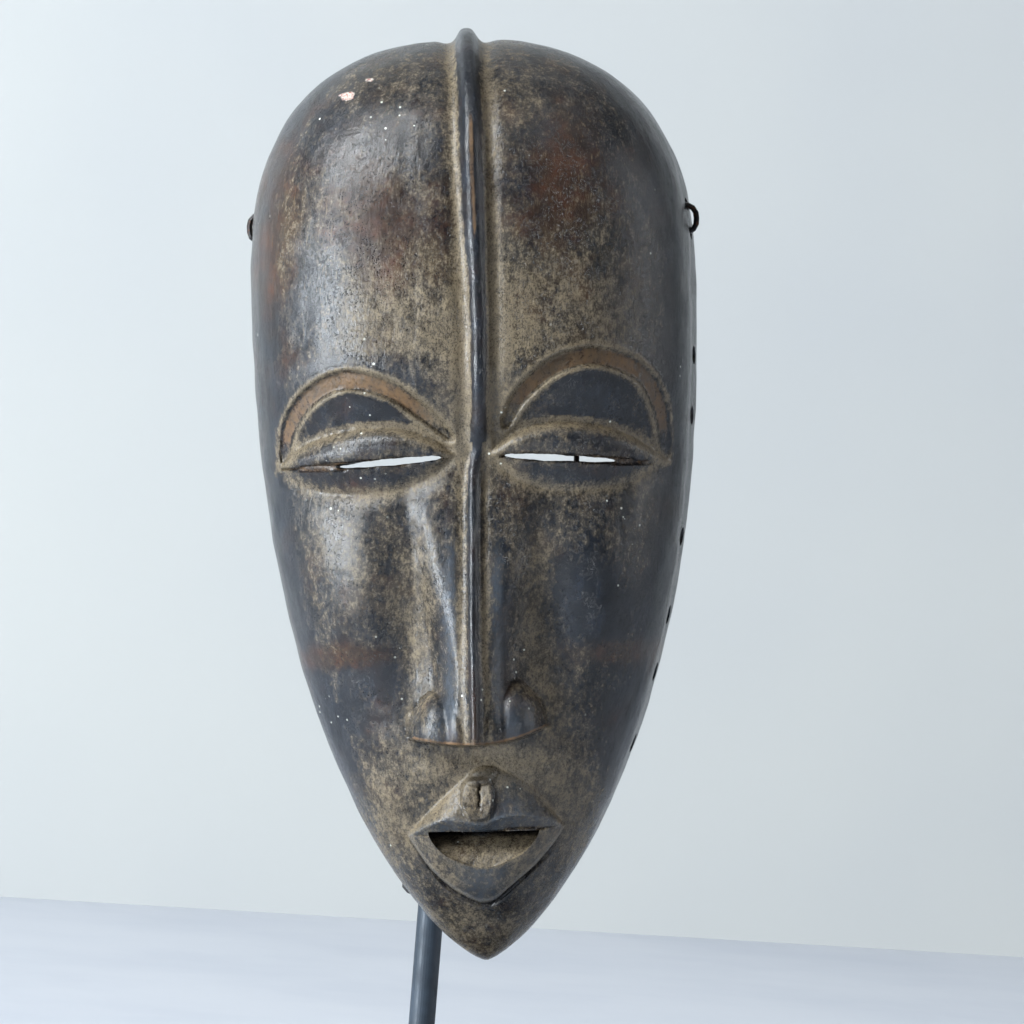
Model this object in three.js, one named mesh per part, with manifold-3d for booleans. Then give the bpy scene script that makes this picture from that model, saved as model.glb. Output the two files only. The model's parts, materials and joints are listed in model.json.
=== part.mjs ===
// A carved wooden face mask, hung by an iron wire on a telescopic steel display stand.
// Millimetres, +Z up. The mask looks along -Y. The origin is under the centre of the base plate.
import * as THREE from "three";
import { mergeVertices } from "three/addons/utils/BufferGeometryUtils.js";
import Module from "manifold-3d";

const wasm = await Module();
wasm.setup();

// ---------------------------------------------------------------- driving dimensions

const GAP = 0.3; // between pieces that touch

// Mask, in its own frame: x across, z up from the chin's tip, d forwards from the back rim's plane.
const MASK_HEIGHT = 259;
const HALF_WIDTH = 62; // at the wall's front edge
const WIDEST_Z = 190; // height of the widest place
const OUTLINE_SHIFT = -0.1; // middle of the outline at that edge
const WIDEST_DEPTH = 10; // the wall is widest this far in front of the back rim
const WALL = { left: 0.945, right: 1.033 }; // back rim's reach: tucked in on the left, flared on the right
const RIM_THICKNESS = 7;
const HOLLOW_SHIFT = 1.2;

// Stand
const BASE = { width: 150, depth: 120, thickness: 6, corner: 6, bevel: 0.8 };
const FELT = { radius: 7, thickness: 2, inset: 16 };
const ROD_Y = 20; // the upright stands behind the centre, under the mask's back
const TUBE = { radius: 3.75, bore: 3.2, top: 169 };
const UPPER_ROD = { radius: 2, bottom: 50, bend: 8 };
const COLLAR = { radius: 7, height: 14 };
const BUMPER_Z = 88; // underside of the rubber ring that the chin's edge leans on
const STUD_RADIUS = 2; // the thumb screw's and the base screw's thread
const THREAD_CLEARANCE = 0.15;

// How the mask hangs
const BACK_Y = 11; // plane of the mask's back rim
const HOOK = { z: 288, front: -4, tip: 10 }; // the hook's axis, its forward end and its upturned tip
const LEAN = THREE.MathUtils.degToRad(-5.85); // the mask's top leans to the left
const PIN = { x: 4.7, z: 216 }; // where the hook's axis lies in the mask's frame
const WIRE_RADIUS = 0.8;

// ---------------------------------------------------------------- materials

function finish(color, roughness, metalness) {
  return new THREE.MeshStandardMaterial({ color, roughness, metalness });
}
const WOOD = finish(0x2b2925, 0.45, 0);
const BLACK_STEEL = finish(0x3a3f44, 0.5, 0.6);
const BARE_STEEL = finish(0x9a9a98, 0.35, 1);
const IRON_WIRE = finish(0x2a2522, 0.6, 0.8);
const RUBBER = finish(0x151515, 0.8, 0);
const BLACK_PLASTIC = finish(0x1b1b1c, 0.55, 0);
const NYLON = finish(0xd8d4c8, 0.5, 0);
const FELT_CLOTH = finish(0x24402c, 1, 0);

// ---------------------------------------------------------------- solids and helpers

// A closed geometry as a manifold-3d solid.
function toSolid(geometry) {
  const bare = geometry.clone();
  bare.deleteAttribute("normal");
  bare.deleteAttribute("uv");
  const merged = mergeVertices(bare, 1e-4);
  return new wasm.Manifold(
    new wasm.Mesh({
      numProp: 3,
      vertProperties: merged.attributes.position.array,
      triVerts: new Uint32Array(merged.index.array),
    }),
  );
}

function toGeometry(solid) {
  const mesh = solid.getMesh();
  const geometry = new THREE.BufferGeometry();
  geometry.setAttribute("position", new THREE.BufferAttribute(mesh.vertProperties, 3));
  geometry.setIndex(new THREE.BufferAttribute(mesh.triVerts, 1));
  geometry.computeVertexNormals();
  return geometry;
}

function join(geometry, ...others) {
  return toGeometry(others.reduce((solid, other) => solid.add(toSolid(other)), toSolid(geometry)));
}

function cut(geometry, ...tools) {
  return toGeometry(tools.reduce((solid, tool) => solid.subtract(toSolid(tool)), toSolid(geometry)));
}

function piece(name, geometry, material) {
  const mesh = new THREE.Mesh(geometry, material);
  mesh.name = name;
  return mesh;
}

// A turned piece about +Z from [radius, z] pairs, listed anticlockwise with the radius to the right.
function turned(profile, segments = 32) {
  const points = [...profile, profile[0]].map(([r, z]) => new THREE.Vector2(r, z));
  return new THREE.LatheGeometry(points, segments).rotateX(Math.PI / 2);
}

function tube(inner, outer, bottom, top, segments = 32) {
  return turned([[inner, bottom], [outer, bottom], [outer, top], [inner, top]], segments);
}

// A round bar about +Z, turned to any axis by the caller.
function bar(radius, length, segments = 24) {
  return new THREE.CylinderGeometry(radius, radius, length, segments).rotateX(Math.PI / 2);
}

// A round wire along a curve.
function wire(curve, radius, steps, sides) {
  const section = new THREE.Shape().absarc(0, 0, radius, 0, 2 * Math.PI);
  return new THREE.ExtrudeGeometry(section, { extrudePath: curve, steps, curveSegments: sides / 2 });
}

function smoothstep(low, high, value) {
  const t = Math.min(Math.max((value - low) / (high - low), 0), 1);
  return t * t * (3 - 2 * t);
}

function bump(x, z, centreX, centreZ, radiusX, radiusZ) {
  return Math.exp(-(((x - centreX) / radiusX) ** 2) - ((z - centreZ) / radiusZ) ** 2);
}

// ---------------------------------------------------------------- the mask's dome and hollow

// 1 at the widest place, falling to 0 at the crown and at the chin's tip.
function endTaper(z, crownPower, crownRoot, chinPower, chinRoot) {
  if (z > WIDEST_Z) {
    const up = Math.min((z - WIDEST_Z) / (MASK_HEIGHT - WIDEST_Z), 1);
    return (1 - up ** crownPower) ** crownRoot;
  }
  const down = Math.min((WIDEST_Z - z) / WIDEST_Z, 1);
  return (1 - down ** chinPower) ** chinRoot;
}

// Half the width at a height: a full round crown, and a pointed chin.
function halfWidth(z) {
  return HALF_WIDTH * endTaper(z, 2.5, 0.4, 2.3, 0.7);
}

// How far the middle line stands in front of the widest place: full forehead, flatter lower face.
function domeHeight(z) {
  return (38 + 8.5 * smoothstep(133, 168, z)) * endTaper(z, 3, 0.5, 3, 0.6);
}

// The plain dome's depth, without its features.
function domeDepth(x, z) {
  const share = Math.min(Math.abs(x - OUTLINE_SHIFT) / halfWidth(z), 1);
  return WIDEST_DEPTH + domeHeight(z) * Math.sqrt(1 - share ** 2.6);
}

// Soft swellings and sinkings of the face: cheeks, eye sockets, lids, and the crease above each lid.
const EYES = [
  { x: -30.3, z: 140.6, radiusX: 23.3, slitLength: 45, slitTurn: 2.6 },
  { x: 29.5, z: 140.9, radiusX: 21.9, slitLength: 43, slitTurn: -4.8 },
];
const LID_RADIUS_Z = 8.5;

function softRelief(x, z) {
  let height = 3 * bump(Math.abs(x), z, 36, 104, 15, 24) - 3 * bump(Math.abs(x), z, 19, 92, 8, 26);
  height -= 1.5 * bump(x, z, 0, 26, 30, 8);
  for (const eye of EYES) {
    const reach = Math.hypot((x - eye.x) / eye.radiusX, (z - eye.z) / LID_RADIUS_Z);
    height += 4.2 * Math.sqrt(Math.max(0, 1 - reach ** 2));
    height -= 2.2 * Math.exp(-(((reach - 1.25) / 0.4) ** 2));
  }
  return height;
}

function faceDepth(x, z) {
  const share = Math.abs(x - OUTLINE_SHIFT) / halfWidth(z);
  return domeDepth(x, z) + softRelief(x, z) * Math.max(0, 1 - share ** 8);
}

// Rows of equal rings, closed with a point at each end.
function loft(rings, firstPoint, lastPoint) {
  const count = rings[0].length;
  const last = rings.length * count + 1;
  const index = [];
  for (let i = 0; i < count; i++) {
    const next = (i + 1) % count;
    index.push(0, 1 + next, 1 + i);
    for (let r = 0; r + 1 < rings.length; r++) {
      const [a, b] = [1 + r * count + i, 1 + r * count + next];
      index.push(a, b, a + count, b, b + count, a + count);
    }
    index.push(last, last - count + i, last - count + next);
  }
  const geometry = new THREE.BufferGeometry();
  const positions = [firstPoint, ...rings.flat(), lastPoint].flat();
  geometry.setAttribute("position", new THREE.Float32BufferAttribute(positions, 3));
  geometry.setIndex(index);
  return geometry;
}

// Heights of rows: each stretch is [from, to, rows].
function rowHeights(stretches) {
  return stretches.flatMap(([from, to, rows]) =>
    Array.from({ length: rows }, (_, i) => from + ((to - from) * (i + 0.5)) / rows),
  );
}

// A relief block: at each height a front edge from left to right, and a straight back edge.
function reliefBlock(heights, columns, halfAt, frontAt, backDepth, middleX, ends) {
  const ring = (z) => {
    const points = [];
    for (let i = 0; i <= columns; i++) {
      const t = (2 * i) / columns - 1;
      const x = middleX + halfAt(z) * Math.sin((Math.PI / 2) * (0.55 * t + 0.45 * t ** 3));
      points.push([x, -frontAt(x, z), z]);
    }
    points.push([middleX + halfAt(z) * ends.right, -backDepth, z]);
    points.push([middleX - halfAt(z) * ends.left, -backDepth, z]);
    return points;
  };
  const closing = (z) => [middleX, -ends.depth, z];
  return loft(heights.map(ring), closing(ends.bottom), closing(ends.top));
}

function outerDome() {
  const heights = rowHeights([
    [0.15, 1, 1], [1, 7, 3], [7, 60, 11], [60, 128, 12], [128, 156, 10],
    [156, 230, 13], [230, 254, 6], [254, 258, 3], [258, 258.9, 2],
  ]);
  const ends = { ...WALL, depth: 5, bottom: 0, top: MASK_HEIGHT };
  return reliefBlock(heights, 38, halfWidth, faceDepth, 0, OUTLINE_SHIFT, ends);
}

// The bowl cut from behind. Its wall is thin at the rim and thick towards the face.
function hollow() {
  const [bottom, top] = [RIM_THICKNESS + 2, MASK_HEIGHT - RIM_THICKNESS - 0.5];
  const stretchedZ = (z) => ((z - bottom) / (top - bottom)) * MASK_HEIGHT;
  const half = (z) => (HALF_WIDTH - RIM_THICKNESS) * endTaper(stretchedZ(z), 2.5, 0.4, 2.3, 0.75);
  const depth = (x, z) => {
    const share = Math.min(Math.abs(x - HOLLOW_SHIFT) / half(z), 1);
    const middle = (domeHeight(z) + WIDEST_DEPTH - 9) * endTaper(stretchedZ(z), 3, 0.5, 3, 0.45);
    return middle * Math.sqrt(1 - share ** 2.2);
  };
  const heights = rowHeights([
    [bottom + 0.3, 30, 6], [30, 230, 20], [230, top - 2, 4], [top - 2, top - 0.2, 2],
  ]);
  const ends = { left: 1, right: 1, depth: -2, bottom, top };
  return reliefBlock(heights, 20, half, depth, -5, HOLLOW_SHIFT, ends);
}

// ---------------------------------------------------------------- the mask's features

// The ridge from the nose over the forehead to the top of the crown, as [x, z].
const RIDGE_LINE = [
  [0.3, 142], [1.1, 149], [1.8, 177], [1.4, 199], [0.8, 222], [0.7, 242], [0.2, 253], [0, 257.5],
];
const RIDGE_RADIUS = 3;

function ridge() {
  const onFace = RIDGE_LINE.map(([x, z]) => new THREE.Vector3(x, 1 - domeDepth(x, z), z));
  const overCrown = new THREE.Vector3(0, -6, MASK_HEIGHT - 1);
  return wire(new THREE.CatmullRomCurve3([...onFace, overCrown]), RIDGE_RADIUS, 30, 8);
}

const NOSE = { x: -0.4, top: 141, bottom: 62.4, height: 16 };

function noseHalfWidth(z) {
  const body = 4 + 6.5 * smoothstep(NOSE.top, 105, z);
  return body + 8 * smoothstep(79, 66, z);
}

function nose() {
  const front = (x, z) => {
    const down = (NOSE.top - z) / (NOSE.top - NOSE.bottom);
    const across = Math.abs(x - NOSE.x) / noseHalfWidth(z);
    const body = 1 + (NOSE.height - 1) * down ** 1.3;
    const wing = smoothstep(79, 68, z) * Math.exp(-(((across - 0.62) / 0.28) ** 2));
    return domeDepth(x, z) - 1.5 + Math.max(body * (1 - 1.08 * across), 9.5 * wing * (1 - across ** 4));
  };
  const heights = rowHeights([[NOSE.bottom, 66, 2], [66, 82, 6], [82, NOSE.top, 10]]);
  const ends = { left: 1, right: 1, depth: 36, bottom: NOSE.bottom, top: NOSE.top };
  return reliefBlock(heights, 16, noseHalfWidth, front, 30, NOSE.x, ends);
}

const LIPS = { x: 0.9, bottom: 17.6, corner: 38.5, top: 53.4, half: 22, height: 5.5 };
const MOUTH = { x: 0.8, top: 37.2, height: 10.6, half: 15.4 };

// A lozenge with rounded upper peaks: sharp at the corners and at the bottom.
function lipsHalfWidth(z) {
  if (z < LIPS.corner) return LIPS.half * ((z - LIPS.bottom) / (LIPS.corner - LIPS.bottom)) ** 0.8;
  return LIPS.half * (1 - (z - LIPS.corner) / (LIPS.top - LIPS.corner)) ** 0.85;
}

function lips() {
  const front = (x, z) => {
    const edge = 1 - (Math.abs(x - LIPS.x) / lipsHalfWidth(z)) ** 3;
    const crest = 1 - Math.min(Math.abs(z - LIPS.corner) / 26, 1) ** 2;
    return domeDepth(x, z) + LIPS.height * crest * Math.max(edge, 0) ** 0.5;
  };
  const heights = rowHeights([[LIPS.bottom, LIPS.corner, 8], [LIPS.corner, LIPS.top, 6]]);
  const ends = { left: 1, right: 1, depth: 24, bottom: LIPS.bottom, top: LIPS.top };
  return reliefBlock(heights, 12, lipsHalfWidth, front, 18, LIPS.x, ends);
}

// The mouth is a blind recess, whose floor slopes back and up from the lower lip.
function mouthRecess() {
  const half = (z) => MOUTH.half * Math.sqrt(1 - ((MOUTH.top - z) / MOUTH.height) ** 2);
  const floor = (z) => 44 - 16 * ((z - MOUTH.top) / MOUTH.height + 1) ** 0.8;
  const rings = rowHeights([[MOUTH.top - MOUTH.height, MOUTH.top, 6]]).map((z) => [
    [MOUTH.x - half(z), -70, z], [MOUTH.x + half(z), -70, z],
    [MOUTH.x + half(z), -floor(z), z], [MOUTH.x - half(z), -floor(z), z],
  ]);
  const closing = (z) => [MOUTH.x, -50, z];
  return loft(rings, closing(MOUTH.top - MOUTH.height), closing(MOUTH.top));
}

// Each brow's middle line, from the temple to the nose, as [x, z].
const BROWS = [
  [[-53.5, 143], [-51.5, 153], [-45, 160.5], [-36, 163.7], [-24, 161], [-14, 153.5], [-8, 148]],
  [[53.7, 142], [52, 155], [46, 165], [34, 169], [22.4, 166], [13, 158], [9, 151.5]],
];

function browGroove(points) {
  const line = points.map(([x, z]) => new THREE.Vector3(x, -1.2 - faceDepth(x, z), z));
  return wire(new THREE.CatmullRomCurve3(line), 2.5, 20, 6);
}

// A tool that cuts a flat outline from the front back to a depth.
function depthTool(shape, depth) {
  const tool = new THREE.ExtrudeGeometry(shape, { depth: 60, bevelEnabled: false, curveSegments: 6 });
  return tool.rotateX(Math.PI / 2).translate(0, -depth, 0);
}

// A lens-shaped slit. It is blind at the temple, where the wall behind it is thick.
function eyeSlit(eye) {
  const half = eye.slitLength / 2;
  const lens = new THREE.Shape().moveTo(-half, 0);
  lens.quadraticCurveTo(0, -2.6, half, 0).quadraticCurveTo(0, 2.6, -half, 0);
  const turn = THREE.MathUtils.degToRad(eye.slitTurn);
  return depthTool(lens, 28).rotateY(-turn).translate(eye.x, 0, eye.z - 0.8);
}

// Holes round the back edge, once used to tie a costume on, and two each side for the wire.
const RIM_HOLES = { heights: [169, 152, 118, 96, 80, 60], radius: 2.6, depth: 7.5 };
const WIRE_HOLES = { heights: [203.5, 211.5], radius: 1.9 };

function sideHole(side, z, radius) {
  const wall = halfWidth(z) - RIM_THICKNESS / 2;
  const hole = new THREE.CylinderGeometry(radius, radius, 24, 10).rotateZ(Math.PI / 2);
  return hole.translate(OUTLINE_SHIFT + side * wall, -RIM_HOLES.depth, z);
}

function mask() {
  const solid = join(outerDome(), ridge(), nose(), lips());
  const tools = [hollow(), mouthRecess(), ...BROWS.map(browGroove), ...EYES.map(eyeSlit)];
  for (const side of [-1, 1]) {
    for (const z of RIM_HOLES.heights) tools.push(sideHole(side, z, RIM_HOLES.radius));
    for (const z of WIRE_HOLES.heights) tools.push(sideHole(side, z, WIRE_HOLES.radius));
  }
  return piece("mask_shell", cut(solid, ...tools), WOOD);
}

// ---------------------------------------------------------------- the hanging wire

const WIRE_DEPTH = RIM_HOLES.depth;
const [WIRE_LOW, WIRE_HIGH] = WIRE_HOLES.heights;
const GROOVE_RADIUS = 3;
const WRAP = { radius: 1.9, length: 11, start: 47.5 };

// From inside the left lower hole, out and back through the wall, over the hook, out and back
// on the right, and then a loose end that hangs down behind the right eye.
function hangingWire() {
  const over = PIN.z + GROOVE_RADIUS + GAP + WIRE_RADIUS;
  // The short loop outside one wall, from the inside to the inside.
  const loop = (inside, hole, outside, from, to) => {
    const step = Math.sign(to - from);
    return [
      [inside, from], [hole, from + 0.1 * step], [outside, from + 1.7 * step], [outside, to - 1.7 * step],
      [hole, to - 0.1 * step], [inside, to],
    ];
  };
  const route = [
    [-48, WIRE_LOW], ...loop(-55.5, -59.8, -62.1, WIRE_LOW, WIRE_HIGH), [-47, WIRE_HIGH + 0.8],
    [PIN.x - 7, over - 0.9], [PIN.x, over], [PIN.x + 7, over - 1.1],
    [48, WIRE_HIGH + 0.8], ...loop(57, 61, 63.3, WIRE_HIGH, WIRE_LOW), [50, WIRE_LOW - 0.3],
    [42, 197], [35.5, 183], [31, 163], [28.4, 140], [29.5, 118],
  ];
  const points = route.map(([x, z]) => new THREE.Vector3(x, -WIRE_DEPTH, z));
  const curve = new THREE.CatmullRomCurve3(points, false, "centripetal");
  return piece("hanging_wire", wire(curve, WIRE_RADIUS, 160, 8), IRON_WIRE);
}

// The wire's ends are wound round its own span, close to the wall.
function wireWrap(name, side, apexX) {
  const end = new THREE.Vector2(side * WRAP.start, WIRE_HIGH + 0.8);
  const apex = new THREE.Vector2(apexX, PIN.z + GROOVE_RADIUS + GAP + WIRE_RADIUS - 1);
  const slope = Math.atan2(apex.y - end.y, apex.x - end.x);
  const middle = new THREE.Vector2(Math.cos(slope), Math.sin(slope)).multiplyScalar(WRAP.length / 2 + 1);
  const sleeve = tube(WIRE_RADIUS + GAP, WRAP.radius, -WRAP.length / 2, WRAP.length / 2, 12);
  sleeve.rotateY(Math.PI / 2 - slope).translate(end.x + middle.x, -WIRE_DEPTH, end.y + middle.y);
  return piece(name, sleeve, IRON_WIRE);
}

function hungMask() {
  const hung = new THREE.Group();
  hung.add(mask(), hangingWire());
  hung.add(wireWrap("wire_wrap_left", -1, PIN.x - 7), wireWrap("wire_wrap_right", 1, PIN.x + 7));
  for (const part of hung.children) part.position.set(-PIN.x, 0, -PIN.z);
  hung.position.set(0, BACK_Y, HOOK.z);
  hung.rotation.y = LEAN;
  return hung;
}

// ---------------------------------------------------------------- the stand

const PLATE_BOTTOM = FELT.thickness;
const PLATE_TOP = PLATE_BOTTOM + BASE.thickness;
const SCREW_HEAD = { radius: 4.2, height: 2.3, recess: 0.4 };

function basePlate() {
  const { width, depth, thickness, corner, bevel } = BASE;
  const [right, back] = [width / 2 - bevel, depth / 2 - bevel];
  const outline = new THREE.Shape();
  outline.absarc(right - corner, back - corner, corner, 0, Math.PI / 2);
  outline.absarc(corner - right, back - corner, corner, Math.PI / 2, Math.PI);
  outline.absarc(corner - right, corner - back, corner, Math.PI, 1.5 * Math.PI);
  outline.absarc(right - corner, corner - back, corner, 1.5 * Math.PI, 2 * Math.PI);
  const plate = new THREE.ExtrudeGeometry(outline, {
    depth: thickness - 2 * bevel, bevelSize: bevel, bevelThickness: bevel, bevelSegments: 2, curveSegments: 6,
  });
  plate.translate(0, 0, PLATE_BOTTOM + bevel);
  const hole = bar(STUD_RADIUS + THREAD_CLEARANCE, 20);
  const sink = turned([
    [0, -1], [SCREW_HEAD.radius + 1.4, -1], [SCREW_HEAD.radius + 0.4, SCREW_HEAD.recess],
    [STUD_RADIUS, SCREW_HEAD.recess + SCREW_HEAD.height + 0.3], [0, SCREW_HEAD.recess + SCREW_HEAD.height + 0.3],
  ]);
  for (const tool of [hole, sink]) tool.translate(0, ROD_Y, PLATE_BOTTOM);
  return piece("base_plate", cut(plate, hole, sink), BLACK_STEEL);
}

function baseScrew() {
  const bottom = PLATE_BOTTOM + SCREW_HEAD.recess;
  const screw = turned([
    [0, bottom], [SCREW_HEAD.radius, bottom], [STUD_RADIUS, bottom + SCREW_HEAD.height],
    [STUD_RADIUS, PLATE_TOP + 11], [STUD_RADIUS - 0.6, PLATE_TOP + 12], [0, PLATE_TOP + 12],
  ]);
  const socket = new THREE.CylinderGeometry(1.45, 1.45, 3.2, 6).rotateX(Math.PI / 2).translate(0, 0, bottom);
  return piece("base_screw", cut(screw, socket).translate(0, ROD_Y, 0), BARE_STEEL);
}

function feltPads() {
  const [x, y] = [BASE.width / 2 - FELT.inset, BASE.depth / 2 - FELT.inset];
  const corners = { front_left: [-x, -y], front_right: [x, -y], back_left: [-x, y], back_right: [x, y] };
  return Object.entries(corners).map(([corner, [padX, padY]]) => {
    const pad = bar(FELT.radius, FELT.thickness, 32).translate(padX, padY, FELT.thickness / 2);
    return piece(`felt_pad_${corner}`, pad, FELT_CLOTH);
  });
}

// The thumb screw passes from behind through the collar and the tube's wall.
const CLAMP_Z = TUBE.top - COLLAR.height / 2;

function studHole() {
  const hole = new THREE.CylinderGeometry(1, 1, 14, 24).scale(
    STUD_RADIUS + THREAD_CLEARANCE, 1, STUD_RADIUS + THREAD_CLEARANCE,
  );
  return hole.translate(0, 7, CLAMP_Z);
}

function upright() {
  const foot = PLATE_TOP;
  const parts = new THREE.Group();
  const plug = tube(STUD_RADIUS + THREAD_CLEARANCE, TUBE.bore - 0.1, foot, foot + 14);
  const ferrule = turned([
    [TUBE.radius + 0.1, foot], [10, foot], [10, foot + 2], [6, foot + 6], [TUBE.radius + 0.1, foot + 6],
  ]);
  const collar = turned([
    [TUBE.radius + 0.1, TUBE.top - COLLAR.height], [COLLAR.radius - 1, TUBE.top - COLLAR.height],
    [COLLAR.radius, TUBE.top - COLLAR.height + 1], [COLLAR.radius, TUBE.top - 1],
    [COLLAR.radius - 1, TUBE.top], [TUBE.radius + 0.1, TUBE.top],
  ]);
  const bumper = turned([
    [TUBE.radius + 0.1, 0], [7.2, 0], [8.7, 1.5], [8.7, 5.5], [7.2, 7], [TUBE.radius + 0.1, 7],
  ]);
  parts.add(piece("upright_tube", cut(tube(TUBE.bore, TUBE.radius, foot, TUBE.top), studHole()), BLACK_STEEL));
  parts.add(piece("tube_plug", plug, BARE_STEEL));
  parts.add(piece("foot_ferrule", ferrule, BLACK_STEEL));
  parts.add(piece("clamp_collar", cut(collar, studHole()), BLACK_STEEL));
  parts.add(piece("bumper_ring", bumper.translate(0, 0, BUMPER_Z), RUBBER));
  parts.position.y = ROD_Y;
  return parts;
}

// A knurled plastic knob moulded on a steel stud, whose end bears on the upper rod.
function thumbScrew() {
  const KNOB = { radius: 6, flute: 0.45, flutes: 18, start: 10.5, length: 8 };
  const outline = new THREE.Shape();
  for (let i = 0; i < 4 * KNOB.flutes; i++) {
    const angle = (2 * Math.PI * i) / (4 * KNOB.flutes);
    const radius = KNOB.radius - KNOB.flute * (1 - Math.cos(KNOB.flutes * angle)) / 2;
    outline[i ? "lineTo" : "moveTo"](radius * Math.cos(angle), radius * Math.sin(angle));
  }
  const knob = new THREE.ExtrudeGeometry(outline.closePath(), {
    depth: KNOB.length - 1, bevelSize: 0.5, bevelThickness: 0.5, bevelSegments: 1,
  });
  knob.translate(0, 0, KNOB.start + 0.5);
  const socketDepth = 6;
  const socket = bar(STUD_RADIUS + THREAD_CLEARANCE, 2 * socketDepth).translate(0, 0, KNOB.start);
  const studStart = UPPER_ROD.radius + GAP;
  const studEnd = KNOB.start + socketDepth - GAP;
  const stud = bar(STUD_RADIUS, studEnd - studStart).translate(0, 0, (studStart + studEnd) / 2);
  const screw = new THREE.Group();
  screw.add(piece("thumb_knob", cut(knob, socket), BLACK_PLASTIC));
  screw.add(piece("thumb_stud", stud, BARE_STEEL));
  screw.rotation.x = -Math.PI / 2;
  screw.position.set(0, ROD_Y, CLAMP_Z);
  return screw;
}

// A bent rod: it slides and turns in the tube, and its forward end is the hook.
function upperRod() {
  const { radius, bottom, bend } = UPPER_ROD;
  const tipY = HOOK.front - 1;
  const bendStart = HOOK.z - bend;
  const at = (y, z) => new THREE.Vector3(0, y, z);
  const path = new THREE.CurvePath();
  path.add(new THREE.QuadraticBezierCurve3(at(ROD_Y, bendStart), at(ROD_Y, HOOK.z), at(ROD_Y - bend, HOOK.z)));
  path.add(new THREE.LineCurve3(at(ROD_Y - bend, HOOK.z), at(tipY + 4, HOOK.z)));
  path.add(new THREE.QuadraticBezierCurve3(at(tipY + 4, HOOK.z), at(tipY, HOOK.z), at(tipY, HOOK.z + 4)));
  path.add(new THREE.LineCurve3(at(tipY, HOOK.z + 4), at(tipY, HOOK.z + HOOK.tip)));
  const straight = bar(radius, bendStart + 0.2 - bottom, 12).translate(0, ROD_Y, (bottom + bendStart + 0.2) / 2);
  const cap = turned([
    [0, 6], [radius + 0.2, 6], [radius + 0.2, 1], [radius + 1, 1], [radius + 1, 6.6], [radius, 7.4], [0, 7.4],
  ], 16);
  cap.translate(0, tipY, HOOK.z + HOOK.tip - 6 + GAP);
  const rod = new THREE.Group();
  rod.add(piece("upper_rod", join(straight, wire(path, radius, 30, 12)), BLACK_STEEL));
  rod.add(piece("hook_cap", cap, RUBBER));
  return rod;
}

function guideBush() {
  const bush = tube(UPPER_ROD.radius + 0.1, TUBE.bore - 0.1, UPPER_ROD.bottom, UPPER_ROD.bottom + 12);
  return piece("guide_bush", bush.translate(0, ROD_Y, 0), NYLON);
}

// A grooved spool that turns on the hook; the wire lies in its groove.
function hookSpool() {
  const bore = UPPER_ROD.radius + 0.25;
  const flange = 4.8;
  const spool = turned([
    [bore, -4.5], [flange, -4.5], [flange, -2.5], [GROOVE_RADIUS, -1.2],
    [GROOVE_RADIUS, 1.2], [flange, 2.5], [flange, 4.5], [bore, 4.5],
  ]);
  spool.rotateX(Math.PI / 2).translate(0, BACK_Y - WIRE_DEPTH, HOOK.z);
  return piece("hook_spool", spool, NYLON);
}

// ---------------------------------------------------------------- the whole object

const object = new THREE.Group();
object.add(basePlate(), baseScrew(), ...feltPads(), upright(), thumbScrew());
object.add(guideBush(), upperRod(), hookSpool(), hungMask());

export default object;
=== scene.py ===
"""The looks of a carved wooden mask that hangs by a wire on a steel display stand.

The carving is worked out in millimetres in the mask's own frame: x across, z up from the chin's tip and
d forwards from the back rim's plane. Everything else is in metres in the frame of the CAD model.
"""

import json
import math

import bmesh
import bpy
import numpy as np
from mathutils import Matrix, Vector


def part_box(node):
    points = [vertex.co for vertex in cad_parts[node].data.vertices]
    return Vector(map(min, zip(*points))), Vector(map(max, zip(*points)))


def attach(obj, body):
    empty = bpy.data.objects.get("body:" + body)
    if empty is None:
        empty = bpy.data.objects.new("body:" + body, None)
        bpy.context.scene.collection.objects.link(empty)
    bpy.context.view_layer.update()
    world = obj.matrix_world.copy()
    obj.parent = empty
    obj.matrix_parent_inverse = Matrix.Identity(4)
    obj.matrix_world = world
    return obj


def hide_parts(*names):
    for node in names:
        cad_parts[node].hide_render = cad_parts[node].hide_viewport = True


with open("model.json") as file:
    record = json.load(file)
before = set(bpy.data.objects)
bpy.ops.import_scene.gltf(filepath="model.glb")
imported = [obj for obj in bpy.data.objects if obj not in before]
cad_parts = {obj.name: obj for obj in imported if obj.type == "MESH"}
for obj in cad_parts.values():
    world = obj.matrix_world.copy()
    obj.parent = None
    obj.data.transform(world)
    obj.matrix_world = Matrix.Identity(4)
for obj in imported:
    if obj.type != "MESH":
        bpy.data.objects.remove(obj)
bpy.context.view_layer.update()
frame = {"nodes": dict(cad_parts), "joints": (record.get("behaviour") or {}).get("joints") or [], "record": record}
JOINTS = {joint["name"]: joint for joint in frame["joints"]}

MM = 0.001
HOOK = Vector(JOINTS["mask_swing"]["pos_m"])  # the hook's axis, where the wire hangs
BACK_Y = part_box("mask_shell")[1][1]  # the plane of the mask's back rim
PIN_X, PIN_Z = 4.7, 216.0  # the hook's axis in the mask's own frame
LEAN = math.radians(-5.85)  # the mask's top leans to the left

# ------------------------------------------------------------------ camera, lights and stage

CAMERA_AIM = Vector((0.0144, 0.001, 0.1989))
CAMERA_DISTANCE = 1.5
CAMERA_AZIMUTH = math.radians(1.2)
CAMERA_ELEVATION = math.radians(0.5)
CAMERA_ROLL = math.radians(4.6)
VIEW_WIDTH = 0.2885  # metres across the picture at the mask


def direction(azimuth, elevation):
    """A unit vector at an azimuth to the right of the front and at an elevation, in radians."""
    return Vector((
        math.sin(azimuth) * math.cos(elevation),
        -math.cos(azimuth) * math.cos(elevation),
        math.sin(elevation),
    ))


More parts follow.
